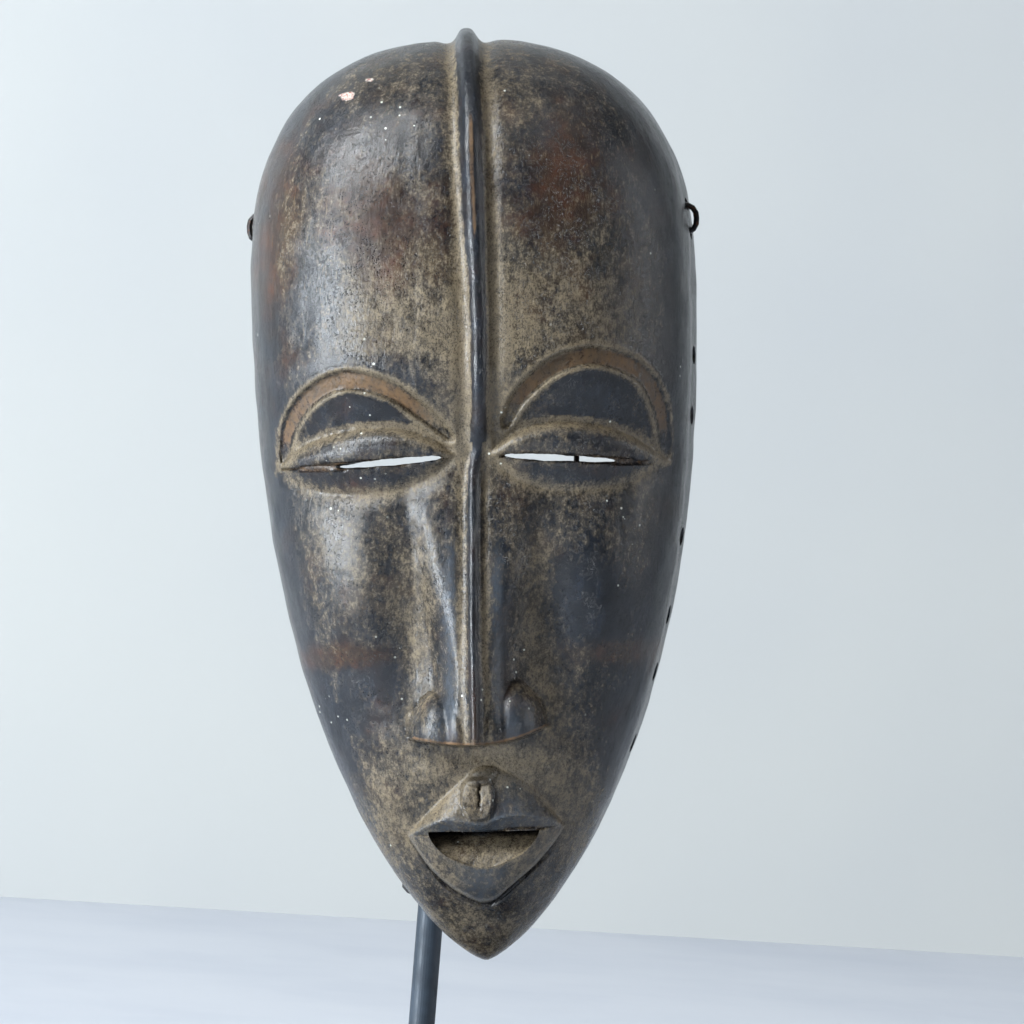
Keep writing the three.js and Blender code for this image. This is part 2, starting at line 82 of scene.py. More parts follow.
def make_camera():
    data = bpy.data.cameras.new("camera")
    data.sensor_width = 36
    data.lens = 36 * CAMERA_DISTANCE / VIEW_WIDTH
    camera = bpy.data.objects.new("camera", data)
    bpy.context.collection.objects.link(camera)
    away = direction(CAMERA_AZIMUTH, CAMERA_ELEVATION)
    turn = (-away).to_track_quat("-Z", "Y") @ Matrix.Rotation(CAMERA_ROLL, 4, "Z").to_quaternion()
    camera.rotation_euler = turn.to_euler()
    camera.location = CAMERA_AIM + away * CAMERA_DISTANCE
    bpy.context.scene.camera = camera


def area_light(name, location, aim, width, height, power, colour):
    data = bpy.data.lights.new(name, "AREA")
    data.shape = "RECTANGLE"
    data.size = width
    data.size_y = height
    data.energy = power
    data.color = colour
    light = bpy.data.objects.new(name, data)
    bpy.context.collection.objects.link(light)
    light.location = location
    light.rotation_euler = (Vector(aim) - Vector(location)).to_track_quat("-Z", "Y").to_euler()


MASK_MIDDLE = Vector((0, 0, 0.2))
# Each window's azimuth and elevation in degrees, its distance, width and height in metres, its power in
# watts and its colour.
WINDOWS = {
    "left_window": (-54, 32, 2.0, 0.55, 1.1, 64, (0.94, 0.98, 1.0)),
    "left_low": (-60, -5, 1.2, 0.3, 0.26, 18, (0.90, 0.96, 1.0)),
    "right_window": (90, 16, 1.8, 0.07, 1.3, 7.5, (0.93, 0.96, 1.0)),
    "front_fill": (20, 60, 2.2, 1.0, 1.0, 5, (1.0, 0.98, 0.96)),
}


def make_lights():
    for name, (azimuth, elevation, distance, width, height, power, colour) in WINDOWS.items():
        away = direction(math.radians(azimuth), math.radians(elevation))
        area_light(name, MASK_MIDDLE + away * distance, MASK_MIDDLE, width, height, power, colour)
    area_light("wall_glow", (-0.3, 0.3, 1.1), (-0.1, 0.95, 0.15), 1.8, 0.3, 1.5, (1, 1, 1))
    world = bpy.data.worlds.new("studio")
    world.use_nodes = True
    background = world.node_tree.nodes["Background"]
    background.inputs["Color"].default_value = (0.86, 0.88, 0.90, 1)
    background.inputs["Strength"].default_value = 0.16
    bpy.context.scene.world = world
    bpy.context.scene.view_settings.view_transform = "Standard"


# ------------------------------------------------------------------ material helpers


def linear(code):
    """An sRGB colour such as "#8c6239" as a linear RGBA tuple."""
    parts = [int(code[i : i + 2], 16) / 255 for i in (1, 3, 5)]
    return tuple(c / 12.92 if c <= 0.04045 else ((c + 0.055) / 1.055) ** 2.4 for c in parts) + (1.0,)


class Nodes:
    """Builds one material's node tree with short calls."""

    def __init__(self, name):
        self.material = bpy.data.materials.new(name)
        self.material.use_nodes = True
        self.tree = self.material.node_tree
        self.shader = self.tree.nodes["Principled BSDF"]
        self.place = self.add("ShaderNodeTexCoord").outputs["Object"]

    def add(self, kind, **settings):
        node = self.tree.nodes.new(kind)
        for key, value in settings.items():
            setattr(node, key, value)
        return node

    def put(self, value, socket):
        if isinstance(value, bpy.types.NodeSocket):
            self.tree.links.new(value, socket)
        else:
            socket.default_value = value

    def stretched(self, scale, lean=0.0):
        node = self.add("ShaderNodeMapping")
        self.put(self.place, node.inputs["Vector"])
        node.inputs["Scale"].default_value = scale
        node.inputs["Rotation"].default_value = (0, lean, 0)
        return node.outputs["Vector"]

    def noise(self, scale, detail=4.0, roughness=0.6, where=None, distortion=0.0):
        node = self.add("ShaderNodeTexNoise")
        self.put(where or self.place, node.inputs["Vector"])
        node.inputs["Scale"].default_value = scale
        node.inputs["Detail"].default_value = detail
        node.inputs["Roughness"].default_value = roughness
        node.inputs["Distortion"].default_value = distortion
        return node.outputs["Fac"]

    def cells(self, scale):
        node = self.add("ShaderNodeTexVoronoi")
        self.put(self.place, node.inputs["Vector"])
        node.inputs["Scale"].default_value = scale
        return node.outputs["Distance"]

    def attribute(self, name):
        return self.add("ShaderNodeAttribute", attribute_name=name).outputs["Fac"]

    def math(self, operation, a, b=0.0, c=0.0):
        node = self.add("ShaderNodeMath", operation=operation)
        for value, socket in zip((a, b, c), node.inputs):
            self.put(value, socket)
        return node.outputs["Value"]

    def between(self, value, low, high, to_low=0.0, to_high=1.0):
        """A smooth step from to_low to to_high as value goes from low to high."""
        node = self.add("ShaderNodeMapRange", interpolation_type="SMOOTHSTEP")
        for v, key in ((value, "Value"), (low, "From Min"), (high, "From Max")):
            self.put(v, node.inputs[key])
        self.put(to_low, node.inputs["To Min"])
        self.put(to_high, node.inputs["To Max"])
        return node.outputs["Result"]

    def mix(self, factor, a, b):
        node = self.add("ShaderNodeMix", data_type="RGBA")
        self.put(factor, node.inputs["Factor"])
        self.put(a, node.inputs[6])
        self.put(b, node.inputs[7])
        return node.outputs[2]

    def bump(self, height, distance, strength=1.0, below=None):
        node = self.add("ShaderNodeBump")
        node.inputs["Strength"].default_value = strength
        node.inputs["Distance"].default_value = distance
        self.put(height, node.inputs["Height"])
        if below:
            self.put(below, node.inputs["Normal"])
        return node.outputs["Normal"]

    def finish(self, **inputs):
        for key, value in inputs.items():
            self.put(value, self.shader.inputs[key.replace("_", " ")])
        return self.material


# ------------------------------------------------------------------ wood

PATINA = linear("#0e1218")
PATINA_LIGHT = linear("#1c232d")
BROWN = linear("#2f2118")
RED_BROWN = linear("#44291a")
DUST = linear("#6b5f4b")
DUST_LIGHT = linear("#8f8066")
BARE_WOOD = linear("#6e5232")
BARE_WOOD_DARK = linear("#46341f")
# Black for the pits, and also the colour of the painted shade.
PIT_AND_SHADE = linear("#0b0b0e")
RAW_WOOD = linear("#6b4a34")
RAW_WOOD_DARK = linear("#3f2b20")
STAIN = linear("#221b18")
FLECK = linear("#c9cbc2")
# Pale blue-grey, for worn spots and for painted highlights.
PALE_WEAR_AND_HIGHLIGHT = linear("#5d6670")
PINK_CHIP = linear("#a5655c")


def worn_patina(n, medium):
    """Blue-black patina, rubbed through to brown in places."""
    patina = n.mix(n.between(medium, 0.38, 0.7), PATINA, PATINA_LIGHT)
    worn = n.math("ADD", n.attribute("brown"), n.math("MULTIPLY_ADD", n.noise(75, 6, 0.7), 1.1, -0.55))
    brown = n.mix(n.between(n.noise(110, 3), 0.45, 0.68), BROWN, RED_BROWN)
    return n.mix(n.between(worn, 0.25, 0.7, 0, 0.9), patina, brown)


def dust_film(n, broad, medium, fine, finest):
    """How much of each place the dust covers, and its colour."""
    film = n.math("MULTIPLY_ADD", medium, 1.2, n.math("MULTIPLY_ADD", broad, 0.5, -0.85))
    film = n.math("ADD", film, n.math("MULTIPLY_ADD", fine, 1.7, -0.85))
    film = n.between(n.math("ADD", n.attribute("dust"), film), 0.12, 0.80, 0.0, 0.9)
    speckle = n.between(finest, 0.38, 0.56, 0.4, 1.0)
    colour = n.mix(n.between(n.math("MULTIPLY", film, fine), 0.3, 0.7), DUST, DUST_LIGHT)
    return n.math("MULTIPLY", film, speckle), colour


def bare_patches(n, broad, medium, fine):
    """How bare the wood is at each place, and its colour."""
    bare = n.math("ADD", n.attribute("bare"), n.math("MULTIPLY_ADD", broad, 0.3, fine))
    return n.between(bare, 0.85, 1.4), n.mix(n.between(medium, 0.4, 0.65), BARE_WOOD, BARE_WOOD_DARK)


def flecks_and_chips(n, coloured, fine, finest):
    """Small pale flecks, and two pink chips on the crown."""
    flecks = n.math("LESS_THAN", n.cells(330), 0.11)
    fleck_amount = n.math("MULTIPLY", flecks, n.between(n.noise(45, 2), 0.60, 0.66))
    coloured = n.mix(fleck_amount, coloured, FLECK)
    chip = n.math("ADD", n.attribute("chip"), n.math("MULTIPLY_ADD", fine, 0.8, -0.4))
    chip_colour = n.mix(n.between(finest, 0.4, 0.6), PINK_CHIP, FLECK)
    return n.mix(n.between(chip, 0.4, 0.6, 0, 0.85), coloured, chip_colour)


def raw_inside(n, broad, streaks):
    """The raw wood of the hollow, stained in places."""
    raw = n.mix(n.between(streaks, 0.35, 0.7), RAW_WOOD, RAW_WOOD_DARK)
    return n.mix(n.between(broad, 0.42, 0.7, 0, 0.7), raw, STAIN)


def wood_material():
    """Patina, then dust, pits, scratches, pale wear and painted highlights, bare wood, flecks and painted shade,
    each over the last.
    """
    n = Nodes("patinated_wood")
    along_grain = n.stretched((1, 1, 0.45), -LEAN)
    nearly_even = n.stretched((1, 1, 0.75), -LEAN)
    streaks = n.noise(1700, 3, 0.6, n.stretched((1, 1, 0.1), -LEAN))
    broad = n.noise(42, 5, 0.62)
    medium = n.noise(190, 6, 0.72, along_grain)
    fine = n.noise(680, 6, 0.78, nearly_even)
    finest = n.noise(2000, 3, 0.7, nearly_even)
    inside = n.attribute("inside")

    dust_amount, dust_colour = dust_film(n, broad, medium, fine, finest)
    coloured = n.mix(dust_amount, worn_patina(n, medium), dust_colour)
    pits = n.between(finest, 0.55, 0.62)
    pit_amount = n.math("MULTIPLY", pits, n.between(n.noise(230, 3, 0.6), 0.42, 0.6, 0.1, 0.9))
    coloured = n.mix(pit_amount, coloured, PIT_AND_SHADE)
    scratches = n.math("MULTIPLY", n.between(streaks, 0.58, 0.7), n.attribute("scratch"))
    coloured = n.mix(n.math("MULTIPLY", scratches, 0.5), coloured, DUST_LIGHT)
    # Pale blue-grey: partly wear, partly painted highlights on the lips and on the nose's shoulders and wings.
    pale = n.math("MULTIPLY", n.attribute("pale"), n.between(fine, 0.3, 0.62, 1.0, 0.35))
    coloured = n.mix(pale, coloured, PALE_WEAR_AND_HIGHLIGHT)
    bare_amount, bare_colour = bare_patches(n, broad, medium, fine)
    coloured = n.mix(bare_amount, coloured, bare_colour)
    coloured = flecks_and_chips(n, coloured, fine, finest)
    coloured = n.mix(n.between(inside, 0.4, 0.6), coloured, raw_inside(n, broad, streaks))
    # Painted shade in the tab's crack, at the mouth's top and under the lower lip's edge; the same amount darkens
    # the lump over the tab.
    coloured = n.mix(n.attribute("shade"), coloured, PIT_AND_SHADE)

    dull = n.math("MAXIMUM", n.math("MULTIPLY", dust_amount, 0.75), n.math("MAXIMUM", bare_amount, inside))
    roughness = n.between(dull, 0.0, 1.0, 0.17, 0.55)
    roughness = n.math("MULTIPLY_ADD", n.math("SUBTRACT", fine, 0.5), 0.3, roughness)
    pitted = n.math("MULTIPLY_ADD", pit_amount, -1.2, n.math("MULTIPLY", fine, 0.8))
    relief = n.math("ADD", pitted, n.math("MULTIPLY", streaks, 0.5))
    gouges = n.math("MULTIPLY", n.cells(95), inside)
    below = n.bump(gouges, 0.004, 0.5, n.bump(medium, 0.0007, 0.3))
    normal = n.bump(relief, 0.0003, 0.6, below)
    return n.finish(Base_Color=coloured, Roughness=roughness, Normal=normal, Specular_IOR_Level=0.5)


# ------------------------------------------------------------------ metals, plastics, rubber and felt


def painted_steel():
    n = Nodes("black_steel")
    tone = n.mix(n.between(n.noise(60, 4), 0.35, 0.7), linear("#26303a"), linear("#36414d"))
    worn = n.between(n.noise(900, 4, 0.7), 0.68, 0.76)
    colour = n.mix(n.math("MULTIPLY", worn, 0.4), tone, linear("#77828c"))
    roughness = n.between(n.noise(350, 4), 0.3, 0.7, 0.42, 0.6)
    normal = n.bump(n.noise(2600, 2, 0.5), 0.00008, 0.6)
    return n.finish(Base_Color=colour, Roughness=roughness, Metallic=0.2, Normal=normal)


def bare_steel():
    n = Nodes("bare_steel")
    rings = n.noise(1400, 3, 0.6, n.stretched((0.1, 0.1, 1)))
    colour = n.mix(n.between(n.noise(300, 4), 0.4, 0.7), linear("#b9b8b2"), linear("#8f8d86"))
    normal = n.bump(rings, 0.00006, 0.7)
    return n.finish(Base_Color=colour, Roughness=n.between(rings, 0.3, 0.7, 0.22, 0.42), Metallic=1.0,
                    Normal=normal)


def iron_wire():
    n = Nodes("iron_wire")
    rust = n.between(n.noise(420, 5, 0.7), 0.52, 0.68)
    colour = n.mix(rust, linear("#1c1b1c"), linear("#5a3a25"))
    roughness = n.mix(rust, (0.35, 0.35, 0.35, 1), (0.8, 0.8, 0.8, 1))
    normal = n.bump(n.noise(2400, 3, 0.6), 0.0001, 0.6)
    return n.finish(Base_Color=colour, Roughness=roughness, Metallic=0.7, Normal=normal)


def moulded(name, dark, light, low, high):
    """Rubber, plastic or nylon: a faint mottle, a fine pebble and scuffs."""
    n = Nodes(name)
    colour = n.mix(n.between(n.noise(150, 4), 0.35, 0.7), linear(dark), linear(light))
    roughness = n.between(n.noise(500, 4, 0.7), 0.3, 0.7, low, high)
    normal = n.bump(n.noise(3000, 2), 0.00006, 0.7)
    return n.finish(Base_Color=colour, Roughness=roughness, Normal=normal)


def felt_material():
    n = Nodes("felt")
    fibres = n.noise(2600, 5, 0.75, distortion=1.5)
    colour = n.mix(n.between(fibres, 0.35, 0.68), linear("#1c3524"), linear("#3c6045"))
    normal = n.bump(fibres, 0.0004, 0.9)
    n.shader.inputs["Sheen Weight"].default_value = 0.5
    return n.finish(Base_Color=colour, Roughness=0.95, Normal=normal)


# ------------------------------------------------------------------ the carving's plain form, in mm

MASK_HEIGHT = 259.0
HALF_WIDTH = 62.0  # at the front edge of the wall
WIDEST_Z = 190.0
SHIFT = -0.1  # middle of the outline at that edge
TUCK, FLARE = 0.055, 0.033  # the wall leans in towards the back on the left, and out on the right
HOLLOW_SHIFT = 1.2
WIDEST_DEPTH = 10.0
RIM_THICKNESS = 7.0
CROWN_ROOT, CHIN_ROOT = 0.4, 0.7
CROWN_POWER, CHIN_POWER = 2.5, 2.3


def smoothstep(low, high, value):
    t = np.clip((value - low) / (high - low), 0, 1)
    return t * t * (3 - 2 * t)


def bell(value, width):
    return np.exp(-((value / width) ** 2))


def end_taper(z, crown_power, crown_root, chin_power, chin_root):
    up = np.clip((z - WIDEST_Z) / (MASK_HEIGHT - WIDEST_Z), 0, 1)
    down = np.clip((WIDEST_Z - z) / WIDEST_Z, 0, 1)
    return (1 - up**crown_power) ** crown_root * (1 - down**chin_power) ** chin_root


def half_width(z):
    return HALF_WIDTH * end_taper(z, CROWN_POWER, CROWN_ROOT, CHIN_POWER, CHIN_ROOT)


def dome_height(z):
    return (38 + 8.5 * smoothstep(133, 168, z)) * end_taper(z, 3, 0.5, 3, 0.6)


def dome_depth(x, z):
    share = np.clip(np.abs(x - SHIFT) / np.maximum(half_width(z), 1e-6), 0, 1)
    return WIDEST_DEPTH + dome_height(z) * np.sqrt(1 - share**2.6)


EYE_X, EYE_Z = 9.9, 125.9  # the camera's aim in the mask's own frame


def seen_at(x, z, depth):
    """Where a point shows on the flat drawing that the carving follows, laid 1.5 m in front of an eye."""
    nearer = depth - WIDEST_DEPTH
    scale = 1 + nearer / (1000 * CAMERA_DISTANCE)
    across = EYE_X + (x - EYE_X) * scale - nearer * math.tan(CAMERA_AZIMUTH)
    return across, EYE_Z + (z - EYE_Z) * scale - nearer * math.tan(CAMERA_ELEVATION)


def set_back(line, depth):
    """The other way: from a line on the drawing to where it lies at a depth."""
    x, z = line
    seen_x, seen_z = seen_at(x, z, depth)
    return 2 * x - seen_x, 2 * z - seen_z


def spline(points, count=120):
    """A smooth line through [x, z] points, as (x array, z array)."""
    points = np.array(points, float)
    padded = np.vstack([2 * points[0] - points[1], points, 2 * points[-1] - points[-2]])
    t = np.linspace(0, len(points) - 1, count)
    i = np.minimum(t.astype(int), len(points) - 2)
    f = (t - i)[:, None]
    a, b, c, d = (padded[i + k] for k in range(4))
    return (0.5 * (2 * b + (c - a) * f + (2 * a - 5 * b + 4 * c - d) * f**2
                   + (3 * b - a - 3 * c + d) * f**3)).T


def nearest(x, z, line):
    """Distance from each point to a line, and how far along the line that is, from 0 to 1."""
    best = np.full(x.shape, 1e9)
    along = np.zeros(x.shape)
    for i, (px, pz) in enumerate(zip(*line)):
        distance = np.hypot(x - px, z - pz)
        closer = distance < best
        best = np.where(closer, distance, best)
        along = np.where(closer, i / (len(line[0]) - 1), along)
    return best, along


# ------------------------------------------------------------------ the carving's features, in mm

RIDGE_LINE = [(0.3, 142), (1.1, 149), (1.8, 177), (1.4, 199), (0.8, 222), (0.7, 242), (0.2, 253), (0, 262)]
NOSE_LINE = [(-1.7, 58), (-1.7, 87), (-1.4, 101), (-0.6, 137), (0.3, 143)]
BROWS = [
    spline([(-54, 141), (-51.8, 152), (-45.5, 160), (-36, 163.9), (-24, 161), (-14, 153.8), (-6.5, 146.8)]),
    spline([(53.7, 140), (52.0, 155), (46.0, 165), (34, 169.2), (22.4, 166.3), (13, 158.3), (8.4, 150)]),
]
SLITS = [
    spline([(-54.5, 139.2), (-44, 139.4), (-33, 140.0), (-21, 140.8), (-9.5, 141.6)]),
    spline([(6.6, 141.9), (17, 141.2), (28, 140.5), (39, 139.7), (50, 138.9)]),
]
PIERCED = [(-39.6, -9.5), (8.0, 39.4)]  # the part of each slit that is open to the back
UPPER_CREASES = [
    spline([(-55, 140.5), (-48, 145.8), (-39, 149), (-30, 150.3), (-20, 149.6), (-12, 146.4), (-6, 142.5)]),
    spline([(4.5, 143), (11, 148), (19, 150.4), (30, 150.4), (41, 148), (49, 143.5), (53, 140)]),
]
LOWER_CREASES = [
    spline([(-55, 138.0), (-47, 133.8), (-38, 132), (-28, 132), (-19, 133.4), (-12, 137), (-7, 141)]),
    spline([(5.5, 141.4), (11, 136), (19, 132.6), (29, 131.8), (39, 132.8), (47, 135.6), (53, 139.4)]),
]


def ridge_centre(z):
    line = NOSE_LINE[:-1] + RIDGE_LINE
    return np.interp(z, [height for _, height in line], [across for across, _ in line])


def ridge_relief(x, z):
    """A rounded crest between two shallow valleys, from the nose over the crown."""
    reach = np.abs(x - ridge_centre(z))
    half = 1.9 + 0.9 * smoothstep(146, 235, z)
    crest = (2.2 + 0.9 * smoothstep(175, 250, z)) * np.exp(-((reach / half) ** 3.2))
    valley = -0.9 * bell(reach - half - 2.6, 2.2)
    return (crest + valley) * smoothstep(142, 152, z)


def brow_half_width(along):
    return 0.7 + 1.95 * np.sin(np.pi * np.clip(along, 0, 1)) ** 0.45


def brow_relief(x, z):
    height = np.zeros(x.shape)
    for line in BROWS:
        distance, along = nearest(x, z, line)
        half = brow_half_width(along)
        height -= 1.6 * (1 - smoothstep(half - 0.6, half + 0.35, distance))
        height += 0.3 * bell(distance - half - 0.9, 0.7)
    return height


def blind_slit(x, z, line):
    """1 in the shallow slot that carries on from each end of the pierced part, and narrows."""
    start, end = line[0][0], line[0][-1]
    half = 0.2 + 0.75 * np.clip(np.minimum(x - start, end - x) / 9, 0, 1)
    slot = 1 - smoothstep(half - 0.25, half + 0.3, np.abs(z - np.interp(x, *line)))
    return slot * (x > start) * (x < end)


def eye_relief(x, z):
    """A socket that sinks to the lid's crease, and a lens-shaped eye parted by the slit."""
    height = np.zeros(x.shape)
    for slit, upper, lower in zip(SLITS, UPPER_CREASES, LOWER_CREASES):
        slit_z, upper_z, lower_z = (np.interp(x, *line) for line in (slit, upper, lower))
        middle, half = (upper[0][0] + upper[0][-1]) / 2, (upper[0][-1] - upper[0][0]) / 2
        ends = (1 - np.clip(np.abs(x - middle) / half, 0, 1) ** 2.6) ** 0.6
        rise = np.clip((z - slit_z) / np.maximum(upper_z - slit_z, 0.4), 0, 1)
        fall = np.clip((slit_z - z) / np.maximum(slit_z - lower_z, 0.4), 0, 1)
        lid = 5.9 * np.clip(1 - (np.abs(rise - 0.3) / 0.7) ** 2.4, 0, 1) ** 0.8 - 2.8
        under = 4.2 * np.clip(1 - fall, 0, 1) ** 0.9 - 1.3
        socket = -2.8 * bell(np.clip(z - upper_z, 0, None), 9)
        beneath = -1.3 * bell(np.clip(lower_z - z, 0, None), 4)
        above_slit = np.where(z < upper_z, lid, socket)
        below_slit = np.where(z > lower_z, under, beneath)
        height += np.where(z > slit_z, above_slit, below_slit) * ends
        height -= 2.2 * blind_slit(x, z, slit)
    return height


NOSE_TOP, NOSE_BOTTOM = 141.0, 60.3
# Each wing is a teardrop: left and right ends of its base, its apex's x and z.
WINGS = [(-20.4, -5.2, -13.6, 75.8), (1.8, 18.2, 10.2, 78.6)]


def nose_bottom(x):
    return NOSE_BOTTOM + np.where(x < -2, 0.0073, 0.0122) * (x + 2) ** 2


def nose_relief(x, z):
    """A narrow crest on a body with round shoulders, and two wings above a sharp lower edge."""
    reach = np.abs(x - ridge_centre(z))
    down = np.clip((NOSE_TOP - z) / (NOSE_TOP - NOSE_BOTTOM), 0, 1)
    shoulder = 5.6 + 5.6 * smoothstep(80, 116, z) + 3.0 * smoothstep(112, 128, z)
    shoulder += 2.2 * smoothstep(78, 64, z)
    foot = shoulder + 7.0 - 1.5 * smoothstep(105, 125, z)
    body = (0.4 + 13.8 * down**1.05) * (1 - smoothstep(shoulder - 1.2, foot, reach))
    body *= 1 - 0.19 * np.clip(reach / shoulder, 0, 1) ** 2
    crest = 2.0 * np.exp(-((reach / 1.35) ** 3)) * smoothstep(148, 138, z)
    valley = -0.6 * bell(reach - 3.2, 1.3) * smoothstep(143, 132, z)
    height = body + crest + valley
    bottom = nose_bottom(x)
    for left, right, apex_x, apex_z in WINGS:
        rise = np.clip((z - bottom) / (apex_z - bottom), 0, 1)
        centre = (left + right) / 2 * (1 - rise) + apex_x * rise
        half = np.maximum((right - left) / 2 * (1 - rise**2.4) ** 0.8, 0.01)
        across = np.abs(x - centre) / half
        wing = 11.2 * (1 - rise**2.6) ** 0.7 * np.sqrt(np.clip(1 - across**2.3, 0, 1))
        groove = -0.4 * bell(np.abs(x - centre) - half - 0.5, 0.9) * (rise < 1) * (1 - rise**6)
        blend = np.sqrt((height - wing) ** 2 + 1.4 * smoothstep(0, 2, wing) * smoothstep(0, 2, height))
        height = (height + wing + blend) / 2 + groove * (wing <= 0.2)
    return height * smoothstep(-0.9, 0.25, z - bottom)


LIP_TOP = spline(
    [(-21.5, 35.2), (-15, 41.9), (-9.7, 47), (-4.8, 51), (0, 51.6), (4.7, 53), (12, 49.2), (18.3, 43.4),
     (23.1, 37.2)]
)
LIP_CREST = spline(
    [(-21.5, 35.2), (-16.5, 37.7), (-10.8, 39.8), (-6.9, 39.4), (-0.1, 38.1), (3.4, 39.6), (9.5, 40.6),
     (18.1, 39.8), (23.1, 37.2)]
)
LIP_BOTTOM = spline(
    [(-21.5, 35.2), (-15.3, 26.3), (-9.4, 20.3), (-3, 16.7), (0, 16.1), (3, 16.9), (6.8, 19.9), (14, 26.3),
     (19, 31.4), (23.1, 37.2)]
)
MOUTH_TOP = spline(
    [(-21.5, 35.2), (-15.4, 35.3), (-5, 36.2), (3, 36.3), (10, 36.9), (16, 36.7), (23.1, 37.2)]
)
MOUTH_BOTTOM = spline(
    [(-15.6, 35.4), (-14.6, 33.4), (-12.6, 30.9), (-8.9, 28.0), (-4, 25.9), (0.5, 25.3), (5, 26.2),
     (9.5, 28.4), (13.3, 31.8), (15.3, 34.6), (15.9, 36.6)]
)


def mouth_edge(x):
    """The mouth's lower edge, carried on level to the corners of the lips."""
    return np.interp(x, *MOUTH_BOTTOM, left=35.3, right=36.7)


def lip_relief(x, z):
    """A lozenge: an upper lip with a sharp crest that turns in to the mouth, and a lower lip."""
    top, crest, bottom = (np.interp(x, *line) for line in (LIP_TOP, LIP_CREST, LIP_BOTTOM))
    mouth_top, mouth_bottom = np.interp(x, *MOUTH_TOP), mouth_edge(x)
    corner = np.clip(1 - np.abs((x - 0.8) / 22.4) ** 4, 0, 1) ** 0.7
    upper = 6.6 * np.clip((top - z) / np.maximum(top - crest, 0.3), 0, 1) ** 0.85
    inner = 6.6 - 2.4 * np.clip((crest - z) / np.maximum(crest - mouth_top, 0.3), 0, 1) ** 0.8
    lower = 3.9 + 1.5 * np.clip((z - bottom) / np.maximum(mouth_bottom - bottom, 0.3), 0, 1) ** 0.7
    height = np.where(z > crest, upper, np.where(z > mouth_top, inner, lower))
    outside = -0.9 * bell(z - bottom + 0.8, 0.6) * (z < crest)
    return (height * smoothstep(-0.15, 0.45, z - bottom) + outside) * corner


TAB = (-1.5, 45.2, 4.6, 5.8)  # the philtrum's raised tab: centre x, centre z, half width, half height


def crack_reach(x, z):
    """Distance across from the crack that runs down the tab."""
    return x + 0.9 + 0.15 * np.sin(1.9 * z) + 0.1 * np.sin(4.3 * z)


def philtrum_relief(x, z):
    cx, cz, rx, rz = TAB
    narrowing = rx * (1 - 0.22 * smoothstep(cz, cz - rz, z))
    q = np.abs((x - cx) / narrowing) ** 4 + np.abs((z - cz) / rz) ** 3
    tab = 1.5 * (1 - smoothstep(0.65, 1.2, q))
    crack = -1.2 * bell(crack_reach(x, z), 0.38) * smoothstep(42, 43.5, z) * smoothstep(50.5, 49.5, z)
    lump = 2.0 * np.sqrt(np.clip(1 - ((x + 0.4) / 4.3) ** 2 - ((z - 51.6 - 0.25 * x) / 2.4) ** 2, 0, 1))
    return tab + crack + lump - 1.3 * bell(z - 57.5, 4) * bell(x, 13)


def cheek_relief(x, z):
    side = np.abs(x)
    cheek = 3.0 * bell(side - 37, 15) * bell(z - 108, 24)
    hollow = -3.4 * bell(side - 20, 7.5) * bell(z - 90, 25)
    ledge = -1.5 * smoothstep(92, 82, z) * bell(side - 38, 14) * smoothstep(45, 75, z)
    chin = -1.2 * bell(z - 12, 6) * bell(x, 16)
    temple = -1.0 * bell(side - 50, 8) * bell(z - 176, 12)
    return cheek + hollow + ledge + chin + temple


def face_relief(x, z):
    """All that is carved towards the viewer, apart from the ridge, which also crosses the crown."""
    share = np.clip(np.abs(x - SHIFT) / np.maximum(half_width(z), 1e-6), 0, 1)
    nose = 10 * bell(x, 14) * smoothstep(120, 70, z) * smoothstep(50, 60, z)
    u, v = seen_at(x, z, dome_depth(x, z) + nose)
    total = brow_relief(u, v) + eye_relief(u, v) + nose_relief(u, v) + lip_relief(u, v)
    return (total + philtrum_relief(u, v) + cheek_relief(u, v)) * (1 - share**10)


# ------------------------------------------------------------------ smooth noise for tool marks


def lattice_noise(points, scale, seed):
    """Smooth random values from -1 to 1 at points in mm, with cells of the given size."""
    rng = np.random.default_rng(seed)
    table = rng.uniform(-1, 1, 4096)
    cell = points / scale
    base = np.floor(cell).astype(np.int64)
    f = cell - base
    f = f * f * (3 - 2 * f)
    total = np.zeros(len(points))
    for corner in range(8):
        step = np.array([corner & 1, corner >> 1 & 1, corner >> 2 & 1])
        i, j, k = (base + step).T
        value = table[(i * 73856093 ^ j * 19349663 ^ k * 83492791) % 4096]
        total += value * np.prod(np.where(step, f, 1 - f), axis=1)
    return total


# ------------------------------------------------------------------ building meshes


def rows_between(stretches):
    return np.concatenate([np.linspace(a, b, count, endpoint=False) for a, b, count in stretches])


def loft(rings, first, last):
    """Vertices and faces of equal rings, closed by a point at each end."""
    rows, count, _ = rings.shape
    vertices = np.vstack([rings.reshape(-1, 3), first, last])
    index = np.arange(rows * count).reshape(rows, count)
    turned = np.roll(index, -1, axis=1)
    quads = np.stack([index[:-1], turned[:-1], turned[1:], index[1:]], axis=-1).reshape(-1, 4)
    low, high = rows * count, rows * count + 1
    faces = quads.tolist()
    faces += [[low, b, a] for a, b in zip(index[0], turned[0])]
    faces += [[high, a, b] for a, b in zip(index[-1], turned[-1])]
    return vertices, faces


def mesh_object(name, vertices, faces):
    mesh = bpy.data.meshes.new(name)
    mesh.from_pydata(np.asarray(vertices).tolist(), [], [list(map(int, face)) for face in faces])
    mesh.update()
    piece = bpy.data.objects.new(name, mesh)
    bpy.context.collection.objects.link(piece)
    return piece


def positions(mesh):
    flat = np.empty(3 * len(mesh.vertices))
    mesh.vertices.foreach_get("co", flat)
    return flat.reshape(-1, 3)


def normals(mesh):
    flat = np.empty(3 * len(mesh.vertices))
    mesh.vertex_normals.foreach_get("vector", flat)
    return flat.reshape(-1, 3)


def set_positions(mesh, points):
    mesh.vertices.foreach_set("co", points.ravel())
    mesh.update()


